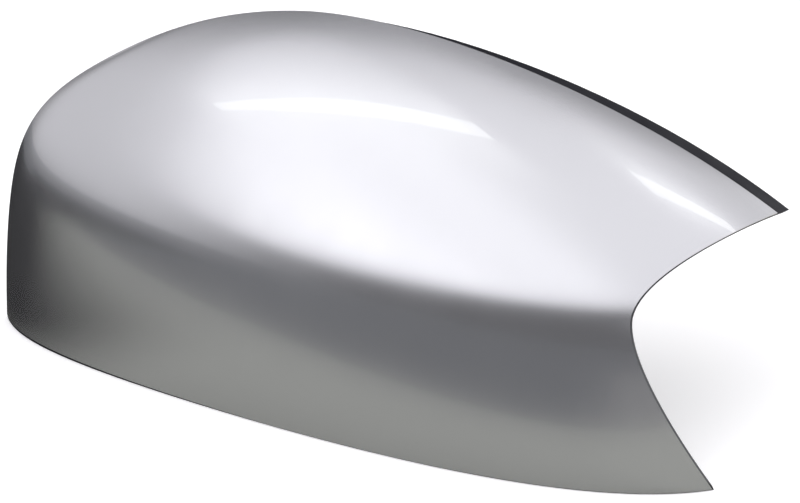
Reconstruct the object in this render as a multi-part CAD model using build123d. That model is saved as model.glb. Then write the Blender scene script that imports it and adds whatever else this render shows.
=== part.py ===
from build123d import *
from math import comb
import os

# Right-hand door mirror cover: one thin moulded shell that clips over the front and top of the mirror head.
# X runs inboard, Y to the rear and Z up. The lower edge lies on Z 0 and the rear rim on one upright plane.

# Overall sizes
COVER_LENGTH = 220.6
COVER_DEPTH = 73.0
COVER_HEIGHT = 100.4
WALL = 2.6
EDGE_ROUND = 0.4

# Crease between the front wall and the top, from the inboard end to the outboard end
CREASE_HEIGHT = (47.3, 50.9)
CREASE_LEAN = (6.0, 5.0)
CREASE_BLEND = (5.0, 14.0)
WALL_UPRIGHT = 20.0
CROWN_PLACE = 0.421

# The skin runs past its finished edges by these lengths and is then trimmed
OVERRUN_BELOW = 15.0
OVERRUN_BEHIND = 10.0

# Stations of the skin from the inboard end to the outboard end, as shares of length, depth and height:
# foot along, foot forward of the rear plane, rim along, rim height, rise of the crown over its chord
STATIONS = (
    (1.007, 0.753, 1.039, 0.410, 0.109),
    (0.888, 1.240, 0.801, 0.857, 0.248),
    (0.580, 1.108, 0.636, 0.921, 0.276),
    (0.192, 0.359, 0.321, 1.222, 0.269),
    (-0.025, 0.361, 0.284, 1.105, 0.260),
    (-0.009, -0.183, 0.075, 0.414, 0.252),
)
# Pull of each row of the cage, from the foot to the rim: the two crease rows pull hardest
ROW_PULL = (1, 10, 60, 60, 10, 1)

# Notch for the mirror arm, drawn on a plane that faces forwards and up
NOTCH_PITCH = 26.0
NOTCH_DEPTH = 36.6
NOTCH_APEX_HEIGHT = 13.0
NOTCH_FOOT_DEPTH = 5.3
NOTCH_FOOT_DROP = 53.0
NOTCH_FOOT_HANDLE = 14.0
NOTCH_TIP_HANDLE = 11.8

# Bare lip along the inboard half of the rear rim, a step below the painted skin
LIP_STEP = 0.7
LIP_LENGTH = 13.5
LIP_RUN = 130.0
LIP_HANDLE = 2.0

# Fittings inside, each placed by its share of the way from the outboard end to the apex of the notch

# Round locating pegs on shouldered bosses
PEG_RADIUS = 3.0
PEG_LENGTH = 12.0
PEG_CHAMFER = 0.8
BOSS_RADIUS = 5.0
BOSS_HEIGHT = 10.0
PEG_HEIGHT = 24.0
PEG_PLACES = (0.91, 0.35)

# Snap hooks
HOOK_WIDTH = 10.0
HOOK_THICKNESS = 2.0
HOOK_BARB = 2.2
HOOK_TIP = 0.6
HOOK_RAMP = 4.6
HOOK_CATCH = 2.4
TOP_HOOK_REACH = 13.0
TOP_HOOK_INSET = 11.0
TOP_HOOK_PLACES = (0.95, 0.67, 0.35)
FOOT_HOOK_REACH = 14.0
FOOT_HOOK_HEIGHT = 9.0
FOOT_HOOK_PLACES = (0.80, 0.50, 0.21)

# Gusset ribs across the inside of the crease
RIB_THICKNESS = 1.6
RIB_DROP = 16.0
RIB_RUN = 20.0
RIB_PLACES = (0.84, 0.46, 0.24)

# Height of the band outside the lip's step that trims what is rooted in the wall
TRIM_BAND = 30.0
# Halvings of the search for a place on the skin
SEARCH_STEPS = 24

REAR_Y = COVER_DEPTH / 2
INBOARD_X = COVER_LENGTH / 2
OUTBOARD_X = -COVER_LENGTH / 2
APEX_X = INBOARD_X - NOTCH_DEPTH


def between(pair, share):
    """Value part of the way from the first of a pair to the second."""
    return pair[0] + (pair[1] - pair[0]) * share


def station_rows(index):
    """Six cage points of one station, from the foot of the wall over the crease to the rim."""
    foot_along, foot_forward, rim_along, rim_height, crown_rise = STATIONS[index]
    share = index / (len(STATIONS) - 1)
    foot = Vector((foot_along - 0.5) * COVER_LENGTH, REAR_Y - foot_forward * COVER_DEPTH, -OVERRUN_BELOW)
    rim = Vector((rim_along - 0.5) * COVER_LENGTH, REAR_Y + OVERRUN_BEHIND, rim_height * COVER_HEIGHT)
    inward = Vector(rim.X - foot.X, rim.Y - foot.Y, 0).normalized()
    upright = Vector(foot.X, foot.Y, WALL_UPRIGHT)
    crease = Vector(foot.X, foot.Y, between(CREASE_HEIGHT, share)) + inward * between(CREASE_LEAN, share)
    crown = crease + (rim - crease) * CROWN_PLACE + Vector(0, 0, crown_rise * COVER_HEIGHT)
    half_blend = between(CREASE_BLEND, share) / 2
    crease_low = crease + (upright - crease).normalized() * half_blend
    crease_high = crease + (crown - crease).normalized() * half_blend
    return [foot, upright, crease_low, crease_high, crown, rim]


CAGE = [station_rows(index) for index in range(len(STATIONS))]


def blend_weights(degree, place):
    """Shares of the cage points of a Bezier curve at a place from 0 to 1."""
    return [comb(degree, k) * place**k * (1 - place) ** (degree - k) for k in range(degree + 1)]


def skin_point(u, v):
    """Point of the outer skin, u from inboard to outboard and v from the foot to the rim."""
    total = Vector(0, 0, 0)
    weight = 0.0
    for station, along in zip(CAGE, blend_weights(len(STATIONS) - 1, u)):
        for point, up, pull in zip(station, blend_weights(len(ROW_PULL) - 1, v), ROW_PULL):
            total += point * (along * up * pull)
            weight += along * up * pull
    return total / weight


def solve(measure, wanted):
    """Place from 0 to 1 where a rising measure reaches the wanted value."""
    low, high = 0.0, 1.0
    for _ in range(SEARCH_STEPS):
        middle = (low + high) / 2
        if measure(middle) < wanted:
            low = middle
        else:
            high = middle
    return low


def wall_point(x, z):
    """Point of the outer skin of the front wall at a given length and height."""
    def at_height(u):
        return skin_point(u, solve(lambda v: skin_point(u, v).Z, z))
    return at_height(solve(lambda u: -at_height(u).X, -x))


def top_point(x, y):
    """Point of the outer skin of the top at a given length and depth."""
    def at_depth(u):
        return skin_point(u, solve(lambda v: skin_point(u, v).Y, y))
    return at_depth(solve(lambda u: -at_depth(u).X, -x))


def fitting_x(place):
    """Length at which a fitting sits, from its share of the way to the notch."""
    return between((OUTBOARD_X, APEX_X), place)


def inner_band(skin, thickness):
    """Layer of the skin of a given thickness on its inner side."""
    return Solid.thicken(skin, thickness, normal_override=(0, 1, -1))


def space_below():
    """Block under the plane of the lower edge."""
    size = (2 * COVER_LENGTH, 2 * COVER_DEPTH, 2 * OVERRUN_BELOW)
    return Box(*size, align=(Align.CENTER, Align.CENTER, Align.MAX))


def space_behind():
    """Block behind the plane of the rear rim."""
    size = (2 * COVER_LENGTH, COVER_DEPTH, 4 * COVER_HEIGHT)
    return Pos(0, REAR_Y, 0) * Box(*size, align=(Align.CENTER, Align.MIN, Align.CENTER))


def notch_cutter():
    """Prism through the inboard end: two flanks meet at the apex, the upper one runs to the lip's corner."""
    plane = Plane(origin=(0, REAR_Y, 0), x_dir=(1, 0, 0), z_dir=Vector(0, -1, 0).rotate(Axis.X, -NOTCH_PITCH))
    apex = Vector(APEX_X, NOTCH_APEX_HEIGHT)
    foot = Vector(INBOARD_X - NOTCH_FOOT_DEPTH, NOTCH_APEX_HEIGHT - NOTCH_FOOT_DROP)
    lip_corner = plane.to_local_coords(top_point(INBOARD_X, REAR_Y) - Vector(0, 0, LIP_STEP))
    tip = Vector(lip_corner.X, lip_corner.Y)
    tip_handle = apex + Vector(0, NOTCH_TIP_HANDLE)
    beyond = tip + (tip - tip_handle)
    lower = Bezier(foot, apex - Vector(0, NOTCH_FOOT_HANDLE), apex)
    upper = Bezier(apex, tip_handle, tip)
    outline = Polyline(tip, beyond, (beyond.X, foot.Y), foot)
    face = plane * make_face([lower, upper, outline])
    return extrude(face, amount=COVER_LENGTH, both=True)


def lip_zone():
    """Zone behind the painted edge of the rear rim, which curves away from the rim to the inboard end."""
    start = Vector(INBOARD_X - LIP_RUN, REAR_Y)
    handle = Vector(INBOARD_X - LIP_RUN / 2, REAR_Y - LIP_HANDLE)
    end = Vector(INBOARD_X, REAR_Y - LIP_LENGTH)
    past = end + (end - handle)
    behind = REAR_Y + OVERRUN_BEHIND
    edge = Bezier(start, handle, end)
    rest = Polyline(end, past, (past.X, behind), (start.X, behind), start)
    return extrude(make_face([edge, rest]), amount=2 * COVER_HEIGHT)


def upright_plane(x):
    """Plane across the cap at a given length, with its own X to the rear and its own Y up."""
    return Plane(origin=(x, 0, 0), x_dir=(0, 1, 0), z_dir=(1, 0, 0))


def plate_across(x, corners, width):
    """Flat plate across the cap, from corners given as depth and height."""
    face = upright_plane(x) * make_face(Polyline(*corners, close=True))
    return extrude(face, amount=width / 2, both=True)


def peg(x):
    """Boss with a shoulder and a round peg, both pointing to the rear."""
    seat = wall_point(x, PEG_HEIGHT).Y + WALL + BOSS_HEIGHT
    root = Plane(origin=(x, seat, PEG_HEIGHT), x_dir=(1, 0, 0), z_dir=(0, 1, 0))
    boss = extrude(root * Circle(BOSS_RADIUS), amount=-(BOSS_HEIGHT + TRIM_BAND / 2))
    pin = extrude(root * Circle(PEG_RADIUS), amount=PEG_LENGTH)
    tip = pin.faces().sort_by(Axis.Y)[-1]
    return boss + chamfer(tip.edges(), PEG_CHAMFER)


def hook_outline(root, reach, barb):
    """Corners of a snap hook: a flat tongue along reach with a ramped barb to one side of its end."""
    end = root + reach
    along = reach.normalized()
    back = root - along * (TRIM_BAND / 2)
    side = barb * HOOK_THICKNESS
    return [
        back,
        end,
        end + side + barb * HOOK_TIP,
        end - along * HOOK_CATCH + side + barb * HOOK_BARB,
        end - along * HOOK_RAMP + side,
        back + side,
    ]


def top_hook(x):
    """Hook that hangs from the top close to the rear rim, with its barb to the rear."""
    depth = REAR_Y - TOP_HOOK_INSET
    root = Vector(depth, top_point(x, depth).Z - WALL)
    return plate_across(x, hook_outline(root, Vector(0, -TOP_HOOK_REACH), Vector(1, 0)), HOOK_WIDTH)


def foot_hook(x):
    """Hook that points to the rear from the foot of the wall, with its barb upwards."""
    root = Vector(wall_point(x, FOOT_HOOK_HEIGHT).Y + WALL, FOOT_HOOK_HEIGHT)
    return plate_across(x, hook_outline(root, Vector(FOOT_HOOK_REACH, 0), Vector(0, 1)), HOOK_WIDTH)


def crease_rib(x):
    """Gusset from the wall to the top across the inside of the crease."""
    u = solve(lambda place: -skin_point(place, 0.5).X, -x)
    crease = skin_point(u, 0.5)
    low = wall_point(x, crease.Z - RIB_DROP)
    high = top_point(x, crease.Y + RIB_RUN)
    spare = TRIM_BAND / 3
    corners = [
        (low.Y + WALL / 2, low.Z),
        (low.Y - spare, low.Z),
        (low.Y - spare, crease.Z + spare),
        (high.Y, high.Z + spare),
        (high.Y, high.Z - WALL / 2),
    ]
    return plate_across(x, corners, RIB_THICKNESS)


def outer_edges(shell):
    """Edges round the outer skin, which is the largest face of the trimmed shell."""
    return shell.faces().sort_by(SortBy.AREA)[-1].edges()


def mirror_cover():
    """Thin shell of the cap, trimmed and notched, with its hooks, pegs and ribs."""
    skin = Face.make_bezier_surface(CAGE, [ROW_PULL] * len(STATIONS))
    step_skin = inner_band(skin, LIP_STEP).faces().sort_by(SortBy.AREA)[-2]
    outside = Solid.thicken(step_skin, TRIM_BAND, normal_override=(0, -1, 1))
    trimmed = inner_band(skin, WALL) - space_behind() - space_below()
    lipped = trimmed - (outside & lip_zone())
    notched = lipped - notch_cutter()
    rounded = notched.fillet(EDGE_ROUND, outer_edges(notched))
    fittings = [peg(fitting_x(place)) for place in PEG_PLACES]
    fittings += [top_hook(fitting_x(place)) for place in TOP_HOOK_PLACES]
    fittings += [foot_hook(fitting_x(place)) for place in FOOT_HOOK_PLACES]
    fittings += [crease_rib(fitting_x(place)) for place in RIB_PLACES]
    rooted = [fitting - outside for fitting in fittings]
    return rounded.fuse(*rooted)


if __name__ == "__main__":
    os.makedirs("parts", exist_ok=True)
    export_step(mirror_cover(), "parts/mirror_cover.step")
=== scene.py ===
from math import asin, atan2, comb, cos, degrees, radians, sin

import bmesh
import bpy
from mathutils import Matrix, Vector


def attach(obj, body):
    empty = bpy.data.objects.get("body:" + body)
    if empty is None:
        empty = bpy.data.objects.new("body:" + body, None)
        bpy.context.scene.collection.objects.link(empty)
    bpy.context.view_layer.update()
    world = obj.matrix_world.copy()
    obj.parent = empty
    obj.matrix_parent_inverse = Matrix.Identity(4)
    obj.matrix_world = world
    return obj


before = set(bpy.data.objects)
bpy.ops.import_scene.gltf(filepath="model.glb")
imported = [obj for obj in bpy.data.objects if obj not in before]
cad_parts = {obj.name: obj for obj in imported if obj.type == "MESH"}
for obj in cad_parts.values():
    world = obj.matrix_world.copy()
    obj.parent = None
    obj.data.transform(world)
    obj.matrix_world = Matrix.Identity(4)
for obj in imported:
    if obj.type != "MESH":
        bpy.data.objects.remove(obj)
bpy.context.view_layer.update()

# The cover of a right-hand door mirror: a black moulded shell with silver paint on its outside.
# The skin is worked out in millimetres, as on the drawing, and everything in the scene is in metres.
# X runs inboard, Y to the rear and Z up.

MM = 0.001

# Skin of the cover, the same surface as the outside of the moulding
COVER_LENGTH = 220.6
COVER_DEPTH = 73.0
COVER_HEIGHT = 100.4
CREASE_HEIGHT = (47.3, 50.9)
CREASE_LEAN = (6.0, 5.0)
CREASE_BLEND = (5.0, 14.0)
WALL_UPRIGHT = 20.0
CROWN_PLACE = 0.421
OVERRUN_BELOW = 15.0
OVERRUN_BEHIND = 10.0
REAR_Y = COVER_DEPTH / 2
INBOARD_X = COVER_LENGTH / 2

# Stations from the inboard end to the outboard end, as shares of length, depth and height:
# foot along, foot forward of the rear plane, rim along, rim height, rise of the crown over its chord
STATIONS = (
    (1.007, 0.753, 1.039, 0.410, 0.109),
    (0.888, 1.240, 0.801, 0.857, 0.248),
    (0.580, 1.108, 0.636, 0.921, 0.276),
    (0.192, 0.359, 0.321, 1.222, 0.269),
    (-0.025, 0.361, 0.284, 1.105, 0.260),
    (-0.009, -0.183, 0.075, 0.414, 0.252),
)
ROW_PULL = (1, 10, 60, 60, 10, 1)

# Notch for the mirror arm, drawn on a plane that leans back by its pitch
NOTCH_PITCH = radians(26.0)
NOTCH_DEPTH = 36.6
NOTCH_APEX_HEIGHT = 13.0
NOTCH_FOOT_DEPTH = 5.3
NOTCH_FOOT_DROP = 53.0
NOTCH_FOOT_HANDLE = 14.0
NOTCH_TIP_HANDLE = 11.8

# Bare lip along the inboard half of the rear rim
LIP_STEP = 0.7
LIP_LENGTH = 13.5
LIP_RUN = 130.0
LIP_HANDLE = 2.0
LIP_CUTS = 12

# Coat of paint on the outside, which stops short of the rounded edges and higher at the outboard foot
FILM_THICKNESS = 0.3
FILM_LIFT = 0.1
FILM_EDGE = 0.35
BARE_FOOT = 1.0
BARE_FOOT_RUN = 85.0
FILM_FACES_ALONG = 230
FILM_FACES_UP = 150
ROW_CROWDING = 2.2
SHARP_ANGLE = radians(40)
SEARCH_STEPS = 30

# Silver paint, with tones and roughness as pairs that a mask runs between
PAINT_TONES = ((0.431, 0.434, 0.452), (0.451, 0.454, 0.472))
PAINT_SHEENS = (0.23, 0.265)
PAINT_METALLIC = 0.95
COAT_WEIGHT = 1.0
COAT_ROUGHNESS = 0.03
FLAKE_SCALE = 2600.0
CLOUD_SCALE = 14.0
WIPING_SCALE = 45.0
PEEL_SCALE = 400.0
PEEL_DETAIL = 1.0
PEEL_STRENGTH = 0.008

# Black plastic. Levels in metres part the lip and the foot, painted near black as painted shade, from the
# inside, painted a lighter grey as painted light; the slanted ramp between them is painted shade that
# darkens the inside towards the rim
PLASTIC_SHADE_TONES = ((0.003, 0.003, 0.007), (0.1, 0.102, 0.108))
PLASTIC_SHEENS = (0.5, 0.64)
PLASTIC_SPECULAR = 0.15
LIP_FALL = 0.39
LIP_LEVEL = 0.086
INSIDE_LEVEL = 0.07
INSIDE_PAINTED_LIGHT = 0.9
FOOT_PAINTED_SHADE = (0.0012, 0.003)
DUST_SHARE = 0.1
DUST_SCALE = 60.0
HANDLING_SCALE = 90.0
GRAIN_SCALE = 1500.0
GRAIN_DETAIL = 2.0
GRAIN_STRENGTH = 0.4

# Mottle and relief that both finishes of the cover use
MOTTLE_DETAIL = 3.0
MOTTLE_RANGE = (0.3, 0.7)
RELIEF_HEIGHT = 0.0001

# Floor, and cards on it that show in the gloss only, where they paint darker reflections of the floor:
# name, middle, length, width, colour and feather
FLOOR_SIZE = 9.0
FLOOR_COLOUR = (0.9, 0.9, 0.9)
FLOOR_GLOW = 0.28
FLOOR_CARDS = (
    ("dark_reflection_card", (0, 0, 0.0002), (FLOOR_SIZE, 0, 0), (0, FLOOR_SIZE, 0), (0.228, 0.233, 0.239), 0.01),
    ("grey_reflection_card", (0.1, 0.105, 0.0003), (0.8, -0.08, 0), (0, 0.41, 0), (0.575, 0.585, 0.525), 0.04),
    ("right_card", (0.2, -0.16, 0.00025), (0.32, 0, 0), (0, 0.22, 0), (0.37, 0.37, 0.36), 0.15),
    ("left_card", (-0.256, 0.27, 0.0005), (0.388, 0, 0), (0, 0.67, 0), (0.03, 0.03, 0.03), 0.15),
    ("front_card", (-0.46, -0.08, 0.0004), (0.46, 0, 0), (0, 0.34, 0), (0.03, 0.03, 0.03), 0.25),
)

# Light dome with a band of ceiling light. Angles are in degrees from straight up, along the band to the
# rear and across it to the right. A pair named for a span is where a change starts and where it ends.
DOME_RADIUS = 4.0
DOME_FACES_ROUND = 120
DOME_FACES_UP = 80
DOME_TINT = (1.0, 0.99, 1.02)
DIM_LEVEL = 0.2
BAND_WAY = Vector((0.83, 0.56, 0)).normalized()
BAND_SIDE = Vector((BAND_WAY.y, -BAND_WAY.x, 0))
BAND_FRONT_SPAN = (-84, -73.5)
BAND_LEFT = -12.5
LEFT_SPREAD = 0.34
LEFT_STEP = 1.0
LEFT_STEP_SPAN = (-8, 8)
LEFT_NARROWING = 12.2
LEFT_NARROWING_SPAN = (-29, -62)
LEFT_BLUR = (8, 3)
LEFT_BLUR_SPAN = (-15, 15)
BAND_RIGHT = 37.0
RIGHT_BEND = 0.0085
RIGHT_BEND_START = -20
RIGHT_BLUR = 8

# Levels of the band, of the dimmer side to its left and of two fills low at the front and at the rear
KEY_LEVEL = 1.62
KEY_FALL = 0.33
KEY_FALL_SPAN = (30, 75)
FRONT_LIFT = 0.36
FRONT_LIFT_SPAN = (-35, -65)
RIGHT_LIFT = 0.26
RIGHT_LIFT_SPAN = (5, -25)
RIGHT_LIFT_SPAN_ACROSS = (-4, 8)
LIFT_SPAN = (18, -18)
SIDE_FRONT_LEVEL = 1.12
SIDE_REAR_LEVEL = 0.4
SIDE_LEVEL_SPAN = (0, -52)
SIDE_OVERLAP = (14, -2)
SIDE_FALL = 0.6
SIDE_FALL_SPAN_ACROSS = (-38, -62)
FILL_LEVEL = 1.0
FRONT_FILL_SPAN = (-60, -35)
FRONT_FILL_SPAN_ACROSS = (48, 62)
REAR_FILL_SPAN = (-45, -20)
REAR_FILL_SPAN_ACROSS = (-52, -66)

# Lamp tubes, which the top mirrors as two streaks
TUBE_FEATHER = 0.02
FRONT_TUBE_MIDDLE = Vector((-0.445, -0.27, 1.0))
FRONT_TUBE_RUN = Vector((1.016, 0.712, 0))
FRONT_TUBE_WIDTH = 0.034
FRONT_TUBE_BEND = 0.068
FRONT_TUBE_SEGMENTS = 24
FRONT_TUBE_RADIANCE = 4.6
REAR_TUBE_MIDDLE = Vector((0.638, 0.801, 1.0))
REAR_TUBE_RUN = Vector((0.381, 0.464, 0))
REAR_TUBE_WIDTH = 0.085
REAR_TUBE_RADIANCE = 3.6

# Camera
CAMERA_AZIMUTH = radians(9.0)
CAMERA_ELEVATION = radians(26.0)
CAMERA_DISTANCE = 0.85
CAMERA_TARGET = Vector((0.01026, -0.00564, 0.05024))
CAMERA_LENS = 145.35
CAMERA_NEAR = 0.01
SENSOR_WIDTH = 36.0


def between(pair, share):
    """Value part of the way from the first of a pair to the second."""
    return pair[0] + (pair[1] - pair[0]) * share


def station_rows(index):
    """Six cage points of one station, from the foot of the wall over the crease to the rim."""
    foot_along, foot_forward, rim_along, rim_height, crown_rise = STATIONS[index]
    share = index / (len(STATIONS) - 1)
    foot_x = (foot_along - 0.5) * COVER_LENGTH
    foot_y = REAR_Y - foot_forward * COVER_DEPTH
    foot = Vector((foot_x, foot_y, -OVERRUN_BELOW))
    rim_x = (rim_along - 0.5) * COVER_LENGTH
    rim = Vector((rim_x, REAR_Y + OVERRUN_BEHIND, rim_height * COVER_HEIGHT))
    inward = Vector((rim.x - foot.x, rim.y - foot.y, 0)).normalized()
    upright = Vector((foot_x, foot_y, WALL_UPRIGHT))
    crease = Vector((foot_x, foot_y, between(CREASE_HEIGHT, share))) + inward * between(CREASE_LEAN, share)
    crown = crease + (rim - crease) * CROWN_PLACE + Vector((0, 0, crown_rise * COVER_HEIGHT))
    half_blend = between(CREASE_BLEND, share) / 2
    crease_low = crease + (upright - crease).normalized() * half_blend
    crease_high = crease + (crown - crease).normalized() * half_blend
    return [foot, upright, crease_low, crease_high, crown, rim]


CAGE = [station_rows(index) for index in range(len(STATIONS))]


def blend_weights(degree, place):
    """Shares of the cage points of a Bezier curve at a place from 0 to 1."""
    return [comb(degree, k) * place**k * (1 - place) ** (degree - k) for k in range(degree + 1)]


def skin_point(u, v):
    """Point of the outer skin, u from inboard to outboard and v from the foot to the rim."""
    rises = [up * pull for up, pull in zip(blend_weights(len(ROW_PULL) - 1, v), ROW_PULL)]
    total = Vector((0, 0, 0))
    for station, along in zip(CAGE, blend_weights(len(STATIONS) - 1, u)):
        for point, rise in zip(station, rises):
            total += point * (along * rise)
    return total / sum(rises)


def solve(measure, wanted):
    """Place from 0 to 1 where a rising measure reaches the wanted value."""
    low, high = 0.0, 1.0
    for _ in range(SEARCH_STEPS):
        middle = (low + high) / 2
        if measure(middle) < wanted:
            low = middle
        else:
            high = middle
    return low


def top_point(x, y):
    """Point of the outer skin of the top at a given length and depth."""
    def at_depth(u):
        return skin_point(u, solve(lambda v: skin_point(u, v).y, y))
    return at_depth(solve(lambda u: -at_depth(u).x, -x))


def notch_height(point):
    """Height of a point on the leaning plane that the notch is drawn on."""
    return (point.y - REAR_Y) * sin(NOTCH_PITCH) + point.z * cos(NOTCH_PITCH)


def notch_flanks():
    """Lower and upper flank of the notch, each as the three cage points of a curve that rises."""
    apex = Vector((INBOARD_X - NOTCH_DEPTH, NOTCH_APEX_HEIGHT))
    foot = Vector((INBOARD_X - NOTCH_FOOT_DEPTH, NOTCH_APEX_HEIGHT - NOTCH_FOOT_DROP))
    lip_corner = top_point(INBOARD_X, REAR_Y) - Vector((0, 0, LIP_STEP))
    tip = Vector((INBOARD_X, notch_height(lip_corner)))
    lower = (foot, apex - Vector((0, NOTCH_FOOT_HANDLE)), apex)
    upper = (apex, apex + Vector((0, NOTCH_TIP_HANDLE)), tip)
    return lower, upper


def flank_point(flank, place):
    """Point of a flank at a place from 0 to 1."""
    shares = blend_weights(len(flank) - 1, place)
    return sum((point * share for point, share in zip(flank, shares)), Vector((0, 0)))


def notch_length(height, flanks):
    """Length at which the edge of the notch stands at a height on its own plane."""
    lower, upper = flanks
    flank = lower if height < NOTCH_APEX_HEIGHT else upper
    edge = flank_point(flank, solve(lambda place: flank_point(flank, place).y, height))
    beyond = max(height - upper[2].y, 0)
    run = upper[2] - upper[1]
    return edge.x + beyond * run.x / run.y


def lip_tangents():
    """Points along the curved edge of the bare lip, each with its direction out of the painted side."""
    start = Vector((INBOARD_X - LIP_RUN, REAR_Y, 0))
    handle = Vector((INBOARD_X - LIP_RUN / 2, REAR_Y - LIP_HANDLE, 0))
    end = Vector((INBOARD_X, REAR_Y - LIP_LENGTH, 0))
    tangents = []
    for cut in range(LIP_CUTS + 1):
        share = cut / LIP_CUTS
        first, second = start.lerp(handle, share), handle.lerp(end, share)
        run = (second - first).normalized()
        tangents.append((first.lerp(second, share), Vector((-run.y, run.x, 0))))
    return tangents


def film_start(v, flanks):
    """Place along a row of the skin where the paint starts, just short of the notch."""
    def inside(u):
        point = skin_point(u, v)
        return notch_length(notch_height(point), flanks) - FILM_EDGE - point.x
    return solve(inside, 0.0)


def crowded(share):
    """Place up the skin for an even share of the rows, which crowds them at the crease."""
    rise = share**ROW_CROWDING
    return rise / (rise + (1 - share) ** ROW_CROWDING)


def cut_away(shape, place, outwards):
    """Cuts a shape by a plane and clears what lies on the plane's outer side."""
    geometry = shape.verts[:] + shape.edges[:] + shape.faces[:]
    bmesh.ops.bisect_plane(shape, geom=geometry, plane_co=place, plane_no=outwards, clear_outer=True)


def finished_piece(shape, name, material):
    """Object of a finished shape, smooth but for its sharp edges, with its material."""
    for face in shape.faces:
        face.smooth = True
    for edge in shape.edges:
        edge.smooth = len(edge.link_faces) == 2 and edge.calc_face_angle() < SHARP_ANGLE
    mesh = bpy.data.meshes.new(name)
    shape.to_mesh(mesh)
    shape.free()
    mesh.materials.append(material)
    piece = bpy.data.objects.new(name, mesh)
    bpy.context.scene.collection.objects.link(piece)
    return piece


def paint_film(material):
    """Thin closed coat over the outside, from the lower edge to the rim or lip and round the notch."""
    flanks = notch_flanks()
    shape = bmesh.new()
    bmesh.ops.create_grid(shape, x_segments=FILM_FACES_ALONG, y_segments=FILM_FACES_UP, size=0.5)
    starts = {}
    for vert in shape.verts:
        row = round((vert.co.y + 0.5) * FILM_FACES_UP)
        v = crowded(row / FILM_FACES_UP)
        if row not in starts:
            starts[row] = film_start(v, flanks)
        along = vert.co.x + 0.5
        vert.co = skin_point(starts[row] + (1 - starts[row]) * along, v)
    cut_away(shape, (0, 0, FILM_EDGE), (0, 0, -1))
    cut_away(shape, (-INBOARD_X, 0, BARE_FOOT), (-(BARE_FOOT - FILM_EDGE) / BARE_FOOT_RUN, 0, -1))
    cut_away(shape, (0, REAR_Y - FILM_EDGE, 0), (0, 1, 0))
    for place, outwards in lip_tangents():
        cut_away(shape, place - outwards * FILM_EDGE, outwards)
    bmesh.ops.remove_doubles(shape, verts=shape.verts[:], dist=FILM_LIFT / 2)
    bmesh.ops.scale(shape, vec=(MM, MM, MM), verts=shape.verts[:])
    shape.normal_update()
    crown = max(shape.faces, key=lambda face: face.calc_center_median().z)
    if crown.normal.z < 0:
        bmesh.ops.reverse_faces(shape, faces=shape.faces[:])
        shape.normal_update()
    for vert, normal in [(vert, vert.normal.copy()) for vert in shape.verts]:
        vert.co += normal * FILM_LIFT * MM
    bmesh.ops.solidify(shape, geom=shape.faces[:], thickness=FILM_THICKNESS * MM)
    bmesh.ops.recalc_face_normals(shape, faces=shape.faces[:])
    return finished_piece(shape, "paint_film", material)


def node_material(name):
    """New node material, with its nodes, its links and its shader."""
    material = bpy.data.materials.new(name)
    material.use_nodes = True
    nodes, links = material.node_tree.nodes, material.node_tree.links
    return material, nodes, links, nodes["Principled BSDF"]


def math_node(nodes, operation):
    """Math node of one kind."""
    node = nodes.new("ShaderNodeMath")
    node.operation = operation
    return node


def soft_mottle():
    """Node group: a soft cloudy mask from 0 to 1 over the piece's own coordinates."""
    group = bpy.data.node_groups.new("soft_mottle", "ShaderNodeTree")
    group.interface.new_socket("Scale", in_out="INPUT", socket_type="NodeSocketFloat")
    group.interface.new_socket("Mask", in_out="OUTPUT", socket_type="NodeSocketFloat")
    nodes, links = group.nodes, group.links
    entry = nodes.new("NodeGroupInput")
    result = nodes.new("NodeGroupOutput")
    place = nodes.new("ShaderNodeTexCoord")
    cloud = nodes.new("ShaderNodeTexNoise")
    cloud.inputs["Detail"].default_value = MOTTLE_DETAIL
    spread = nodes.new("ShaderNodeMapRange")
    spread.inputs["From Min"].default_value = MOTTLE_RANGE[0]
    spread.inputs["From Max"].default_value = MOTTLE_RANGE[1]
    links.new(place.outputs["Object"], cloud.inputs["Vector"])
    links.new(entry.outputs["Scale"], cloud.inputs["Scale"])
    links.new(cloud.outputs["Fac"], spread.inputs["Value"])
    links.new(spread.outputs["Result"], result.inputs["Mask"])
    return group


SOFT_MOTTLE = soft_mottle()


def mottle_mask(material, scale):
    """Cloudy mask in a material of the cover."""
    node = material.node_tree.nodes.new("ShaderNodeGroup")
    node.node_tree = SOFT_MOTTLE
    node.inputs["Scale"].default_value = scale
    return node.outputs["Mask"]


def two_tones(material, mask, tones):
    """Base colour that runs between a dark and a light tone by a mask."""
    nodes, links = material.node_tree.nodes, material.node_tree.links
    mix = nodes.new("ShaderNodeMix")
    mix.data_type = "RGBA"
    mix.inputs["A"].default_value = (*tones[0], 1)
    mix.inputs["B"].default_value = (*tones[1], 1)
    links.new(mask, mix.inputs["Factor"])
    links.new(mix.outputs["Result"], nodes["Principled BSDF"].inputs["Base Color"])


def two_sheens(material, mask, sheens):
    """Roughness that runs between a glossy and a dull value by a mask."""
    nodes, links = material.node_tree.nodes, material.node_tree.links
    sheen = nodes.new("ShaderNodeMapRange")
    sheen.inputs["To Min"].default_value = sheens[0]
    sheen.inputs["To Max"].default_value = sheens[1]
    links.new(mask, sheen.inputs["Value"])
    links.new(sheen.outputs["Result"], nodes["Principled BSDF"].inputs["Roughness"])


def fine_relief():
    """Node group: heights of a fine grain over the piece's own coordinates."""
    group = bpy.data.node_groups.new("fine_relief", "ShaderNodeTree")
    group.interface.new_socket("Scale", in_out="INPUT", socket_type="NodeSocketFloat")
    group.interface.new_socket("Detail", in_out="INPUT", socket_type="NodeSocketFloat")
    group.interface.new_socket("Height", in_out="OUTPUT", socket_type="NodeSocketFloat")
    nodes, links = group.nodes, group.links
    entry = nodes.new("NodeGroupInput")
    result = nodes.new("NodeGroupOutput")
    place = nodes.new("ShaderNodeTexCoord")
    noise = nodes.new("ShaderNodeTexNoise")
    links.new(place.outputs["Object"], noise.inputs["Vector"])
    links.new(entry.outputs["Scale"], noise.inputs["Scale"])
    links.new(entry.outputs["Detail"], noise.inputs["Detail"])
    links.new(noise.outputs["Fac"], result.inputs["Height"])
    return group


FINE_RELIEF = fine_relief()


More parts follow.
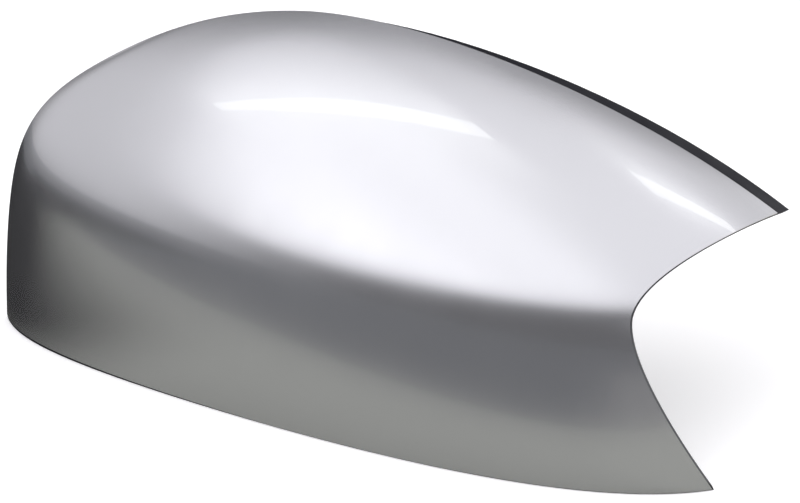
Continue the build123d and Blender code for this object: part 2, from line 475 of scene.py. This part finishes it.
def relief(material, scale, detail, strength):
    """Fine relief in a material of the cover."""
    nodes, links = material.node_tree.nodes, material.node_tree.links
    grain = nodes.new("ShaderNodeGroup")
    grain.node_tree = FINE_RELIEF
    grain.inputs["Scale"].default_value = scale
    grain.inputs["Detail"].default_value = detail
    bump = nodes.new("ShaderNodeBump")
    bump.inputs["Strength"].default_value = strength
    bump.inputs["Distance"].default_value = RELIEF_HEIGHT
    links.new(grain.outputs["Height"], bump.inputs["Height"])
    links.new(bump.outputs["Normal"], nodes["Principled BSDF"].inputs["Normal"])


def silver_paint():
    """Silver flakes under a clear coat with a trace of orange peel and of wiping."""
    material, nodes, links, shader = node_material("silver_paint")
    shader.inputs["Metallic"].default_value = PAINT_METALLIC
    shader.inputs["Coat Weight"].default_value = COAT_WEIGHT
    shader.inputs["Coat Roughness"].default_value = COAT_ROUGHNESS
    place = nodes.new("ShaderNodeTexCoord")
    flakes = nodes.new("ShaderNodeTexVoronoi")
    flakes.inputs["Scale"].default_value = FLAKE_SCALE
    flake = nodes.new("ShaderNodeSeparateColor")
    links.new(place.outputs["Object"], flakes.inputs["Vector"])
    links.new(flakes.outputs["Color"], flake.inputs["Color"])
    clouded = math_node(nodes, "ADD")
    links.new(flake.outputs["Red"], clouded.inputs[0])
    links.new(mottle_mask(material, CLOUD_SCALE), clouded.inputs[1])
    tone = nodes.new("ShaderNodeMapRange")
    tone.inputs["From Max"].default_value = 2.0
    links.new(clouded.outputs[0], tone.inputs["Value"])
    two_tones(material, tone.outputs["Result"], PAINT_TONES)
    two_sheens(material, mottle_mask(material, WIPING_SCALE), PAINT_SHEENS)
    relief(material, PEEL_SCALE, PEEL_DETAIL, PEEL_STRENGTH)
    return material


def black_plastic():
    """Bare moulded plastic with a fine grain and a trace of dust, painted near black on the lip and the
    foot as painted shade and a lighter grey inside as painted light.
    """
    material, nodes, links, shader = node_material("black_plastic")
    shader.inputs["Specular IOR Level"].default_value = PLASTIC_SPECULAR
    place = nodes.new("ShaderNodeTexCoord")
    # Painted shade: the slanted height paints the lip near black and darkens the inside towards the rim,
    # and lower down the inside is painted a lighter grey as painted light
    slanted_height = nodes.new("ShaderNodeVectorMath")
    slanted_height.operation = "DOT_PRODUCT"
    slanted_height.inputs[1].default_value = (LIP_FALL, 0, 1)
    links.new(place.outputs["Object"], slanted_height.inputs[0])
    painted_lip_shade = nodes.new("ShaderNodeMapRange")
    painted_lip_shade.inputs["From Min"].default_value = LIP_LEVEL
    painted_lip_shade.inputs["From Max"].default_value = INSIDE_LEVEL
    painted_lip_shade.inputs["To Max"].default_value = INSIDE_PAINTED_LIGHT
    links.new(slanted_height.outputs["Value"], painted_lip_shade.inputs["Value"])
    # Painted shade: a strip along the lower edge is painted near black
    parts = nodes.new("ShaderNodeSeparateXYZ")
    links.new(place.outputs["Object"], parts.inputs["Vector"])
    painted_foot_shade = nodes.new("ShaderNodeMapRange")
    painted_foot_shade.inputs["From Min"].default_value = FOOT_PAINTED_SHADE[0]
    painted_foot_shade.inputs["From Max"].default_value = FOOT_PAINTED_SHADE[1]
    links.new(parts.outputs["Z"], painted_foot_shade.inputs["Value"])
    grey = math_node(nodes, "MULTIPLY")
    links.new(painted_lip_shade.outputs["Result"], grey.inputs[0])
    links.new(painted_foot_shade.outputs["Result"], grey.inputs[1])
    # The painted shade and light are mixed with a mottle of real dust
    painted_shade_and_dust = math_node(nodes, "MULTIPLY_ADD")
    painted_shade_and_dust.inputs[1].default_value = DUST_SHARE
    links.new(mottle_mask(material, DUST_SCALE), painted_shade_and_dust.inputs[0])
    links.new(grey.outputs[0], painted_shade_and_dust.inputs[2])
    two_tones(material, painted_shade_and_dust.outputs[0], PLASTIC_SHADE_TONES)
    two_sheens(material, mottle_mask(material, HANDLING_SCALE), PLASTIC_SHEENS)
    relief(material, GRAIN_SCALE, GRAIN_DETAIL, GRAIN_STRENGTH)
    return material


def pale_floor():
    """Matt pale floor that reads as white paper and keeps the shadow of what stands on it."""
    material, nodes, links, shader = node_material("pale_floor")
    shader.inputs["Base Color"].default_value = (*FLOOR_COLOUR, 1)
    shader.inputs["Roughness"].default_value = 1.0
    shader.inputs["Specular IOR Level"].default_value = 0.0
    shader.inputs["Emission Color"].default_value = (1, 1, 1, 1)
    path = nodes.new("ShaderNodeLightPath")
    mirrored = math_node(nodes, "ADD")
    links.new(path.outputs["Is Glossy Ray"], mirrored.inputs[0])
    links.new(path.outputs["Is Transmission Ray"], mirrored.inputs[1])
    seen = math_node(nodes, "ADD")
    links.new(path.outputs["Is Camera Ray"], seen.inputs[0])
    links.new(mirrored.outputs[0], seen.inputs[1])
    level = math_node(nodes, "MULTIPLY")
    level.inputs[1].default_value = FLOOR_GLOW
    links.new(seen.outputs[0], level.inputs[0])
    links.new(level.outputs[0], shader.inputs["Emission Strength"])
    return material


def feathered_edge():
    """Node group: a mask that fades from the middle of a sheet's own map to its four edges."""
    group = bpy.data.node_groups.new("feathered_edge", "ShaderNodeTree")
    group.interface.new_socket("Feather", in_out="INPUT", socket_type="NodeSocketFloat")
    group.interface.new_socket("Mask", in_out="OUTPUT", socket_type="NodeSocketFloat")
    nodes, links = group.nodes, group.links
    entry = nodes.new("NodeGroupInput")
    result = nodes.new("NodeGroupOutput")
    place = nodes.new("ShaderNodeTexCoord")
    parts = nodes.new("ShaderNodeSeparateXYZ")
    links.new(place.outputs["UV"], parts.inputs["Vector"])
    both = math_node(nodes, "MULTIPLY")
    for index, axis in enumerate(("X", "Y")):
        from_edge = math_node(nodes, "PINGPONG")
        from_edge.inputs[1].default_value = 0.5
        links.new(parts.outputs[axis], from_edge.inputs[0])
        fade = nodes.new("ShaderNodeMapRange")
        fade.interpolation_type = "SMOOTHSTEP"
        links.new(from_edge.outputs[0], fade.inputs["Value"])
        links.new(entry.outputs["Feather"], fade.inputs["From Max"])
        links.new(fade.outputs["Result"], both.inputs[index])
    links.new(both.outputs[0], result.inputs["Mask"])
    return group


FEATHERED_EDGE = feathered_edge()


def feather_mask(material, feather):
    """Feathered mask in a stage material."""
    node = material.node_tree.nodes.new("ShaderNodeGroup")
    node.node_tree = FEATHERED_EDGE
    node.inputs["Feather"].default_value = feather
    return node.outputs["Mask"]


def tube_glow(name, radiance):
    """Even white light of a lamp tube that fades towards its edges."""
    material, nodes, links, shader = node_material(name)
    nodes.remove(shader)
    light = nodes.new("ShaderNodeEmission")
    light.inputs["Color"].default_value = (1, 1, 1, 1)
    level = math_node(nodes, "MULTIPLY")
    level.inputs[1].default_value = radiance
    links.new(feather_mask(material, TUBE_FEATHER), level.inputs[0])
    links.new(level.outputs[0], light.inputs["Strength"])
    links.new(light.outputs["Emission"], nodes["Material Output"].inputs["Surface"])
    return material


def card_colour(name, colour, feather):
    """Matt card that fades to nothing towards its edges."""
    material, nodes, links, shader = node_material(name)
    nodes.remove(shader)
    matt = nodes.new("ShaderNodeBsdfDiffuse")
    matt.inputs["Color"].default_value = (*colour, 1)
    clear = nodes.new("ShaderNodeBsdfTransparent")
    mix = nodes.new("ShaderNodeMixShader")
    links.new(feather_mask(material, feather), mix.inputs["Fac"])
    links.new(clear.outputs["BSDF"], mix.inputs[1])
    links.new(matt.outputs["BSDF"], mix.inputs[2])
    links.new(mix.outputs["Shader"], nodes["Material Output"].inputs["Surface"])
    return material


def sheet(name, middle, along, across, material, bend=Vector((0, 0, 0)), segments=1):
    """Rectangular stage sheet with its own map, which may bend along its length."""
    shape = bmesh.new()
    own_map = shape.loops.layers.uv.new("own_map")
    bmesh.ops.create_grid(shape, x_segments=segments, y_segments=1, size=0.5)
    for face in shape.faces:
        for loop in face.loops:
            loop[own_map].uv = (loop.vert.co.x + 0.5, loop.vert.co.y + 0.5)
    for vert in shape.verts:
        bow = 1 - 4 * vert.co.x**2
        vert.co = middle + along * vert.co.x + across * vert.co.y + bend * bow
    stage_sheet = finished_piece(shape, name, material)
    return stage_sheet


def reflection_card(name, middle, along, across, colour, feather):
    """Card on the floor that shows in glossy surfaces and nowhere else."""
    card = sheet(name, Vector(middle), Vector(along), Vector(across), card_colour(name, colour, feather))
    card.visible_camera = False
    card.visible_diffuse = False
    card.visible_shadow = False
    card.visible_transmission = False


def lamp_tube(name, middle, run, width, radiance, bend=0.0, segments=1):
    """Glowing tube that the camera doesn't see and that casts no shadow."""
    across, bow = BAND_SIDE * width, BAND_SIDE * bend
    tube = sheet(name, middle, run, across, tube_glow(name, radiance), bow, segments)
    tube.visible_camera = False
    tube.visible_shadow = False


def ramp(value, start, end):
    """Soft step from 0 at the start to 1 at the end."""
    share = min(max((value - start) / (end - start), 0.0), 1.0)
    return share * share * (3 - 2 * share)


def dome_level(way):
    """Brightness of the dome in a direction: a band of ceiling light, a side to its left and two fills."""
    along = degrees(atan2(way.dot(BAND_WAY), way.z))
    across = degrees(asin(max(-1.0, min(1.0, way.dot(BAND_SIDE)))))

    left_edge = BAND_LEFT - LEFT_SPREAD * max(along, 0) + LEFT_STEP * ramp(along, *LEFT_STEP_SPAN)
    left_edge += LEFT_NARROWING * ramp(along, *LEFT_NARROWING_SPAN)
    left_blur = between(LEFT_BLUR, ramp(along, *LEFT_BLUR_SPAN))
    right_edge = BAND_RIGHT - RIGHT_BEND * (min(along, RIGHT_BEND_START) - RIGHT_BEND_START) ** 2
    band = ramp(along, *BAND_FRONT_SPAN) * ramp(across, left_edge - left_blur, left_edge + left_blur)
    band *= ramp(across, right_edge + RIGHT_BLUR, right_edge - RIGHT_BLUR)

    fall = KEY_FALL * ramp(along, *KEY_FALL_SPAN)
    lift = FRONT_LIFT * ramp(along, *FRONT_LIFT_SPAN)
    lift += RIGHT_LIFT * ramp(along, *RIGHT_LIFT_SPAN) * ramp(across, *RIGHT_LIFT_SPAN_ACROSS)
    lift *= ramp(along, *LIFT_SPAN)
    key = KEY_LEVEL * band * (1 - fall + lift)

    side = ramp(across, left_edge + SIDE_OVERLAP[0], left_edge + SIDE_OVERLAP[1])
    side *= 1 - SIDE_FALL * ramp(across, *SIDE_FALL_SPAN_ACROSS)
    side *= between((SIDE_REAR_LEVEL, SIDE_FRONT_LEVEL), ramp(along, *SIDE_LEVEL_SPAN))

    front_fill = FILL_LEVEL * ramp(along, *FRONT_FILL_SPAN) * ramp(across, *FRONT_FILL_SPAN_ACROSS)
    rear_fill = FILL_LEVEL * ramp(along, *REAR_FILL_SPAN) * ramp(across, *REAR_FILL_SPAN_ACROSS)
    return max(DIM_LEVEL, key, side, front_fill, rear_fill)


def light_dome():
    """Half dome of soft light over the floor."""
    shape = bmesh.new()
    bmesh.ops.create_uvsphere(
        shape, u_segments=DOME_FACES_ROUND, v_segments=DOME_FACES_UP, radius=DOME_RADIUS
    )
    cut_away(shape, (0, 0, 0), (0, 0, -1))
    glow_layer = shape.verts.layers.float_color.new("glow")
    for vert in shape.verts:
        level = dome_level(vert.co.normalized())
        vert[glow_layer] = (*(level * share for share in DOME_TINT), 1)
    material, nodes, links, shader = node_material("light_dome")
    nodes.remove(shader)
    glow = nodes.new("ShaderNodeAttribute")
    glow.attribute_name = "glow"
    light = nodes.new("ShaderNodeEmission")
    links.new(glow.outputs["Color"], light.inputs["Color"])
    links.new(light.outputs["Emission"], nodes["Material Output"].inputs["Surface"])
    dome = finished_piece(shape, "light_dome", material)
    dome.visible_camera = False
    dome.visible_shadow = False


def camera():
    """Camera in front of the cover, a little inboard of it and above it."""
    back = Vector((
        sin(CAMERA_AZIMUTH) * cos(CAMERA_ELEVATION),
        -cos(CAMERA_AZIMUTH) * cos(CAMERA_ELEVATION),
        sin(CAMERA_ELEVATION),
    ))
    data = bpy.data.cameras.new("camera")
    data.sensor_width = SENSOR_WIDTH
    data.lens = CAMERA_LENS
    data.clip_start = CAMERA_NEAR
    eye = bpy.data.objects.new("camera", data)
    eye.location = CAMERA_TARGET + back * CAMERA_DISTANCE
    eye.rotation_euler = (-back).to_track_quat("-Z", "Y").to_euler()
    bpy.context.scene.collection.objects.link(eye)
    bpy.context.scene.camera = eye


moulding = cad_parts["mirror_cover"]
moulding.data.materials.clear()
moulding.data.materials.append(black_plastic())

film = paint_film(silver_paint())
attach(film, "root")

floor_along, floor_across = Vector((FLOOR_SIZE, 0, 0)), Vector((0, FLOOR_SIZE, 0))
sheet("floor", Vector((0, 0, 0)), floor_along, floor_across, pale_floor())
# Cards seen only in the gloss paint darker reflections of the floor
for floor_card in FLOOR_CARDS:
    reflection_card(*floor_card)
light_dome()
lamp_tube(
    "front_tube", FRONT_TUBE_MIDDLE, FRONT_TUBE_RUN, FRONT_TUBE_WIDTH, FRONT_TUBE_RADIANCE,
    FRONT_TUBE_BEND, FRONT_TUBE_SEGMENTS,
)
lamp_tube("rear_tube", REAR_TUBE_MIDDLE, REAR_TUBE_RUN, REAR_TUBE_WIDTH, REAR_TUBE_RADIANCE)

world = bpy.data.worlds.new("studio")
world.use_nodes = True
world.node_tree.nodes["Background"].inputs["Color"].default_value = (1, 1, 1, 1)
bpy.context.scene.world = world

camera()
bpy.context.scene.view_settings.view_transform = "Standard"
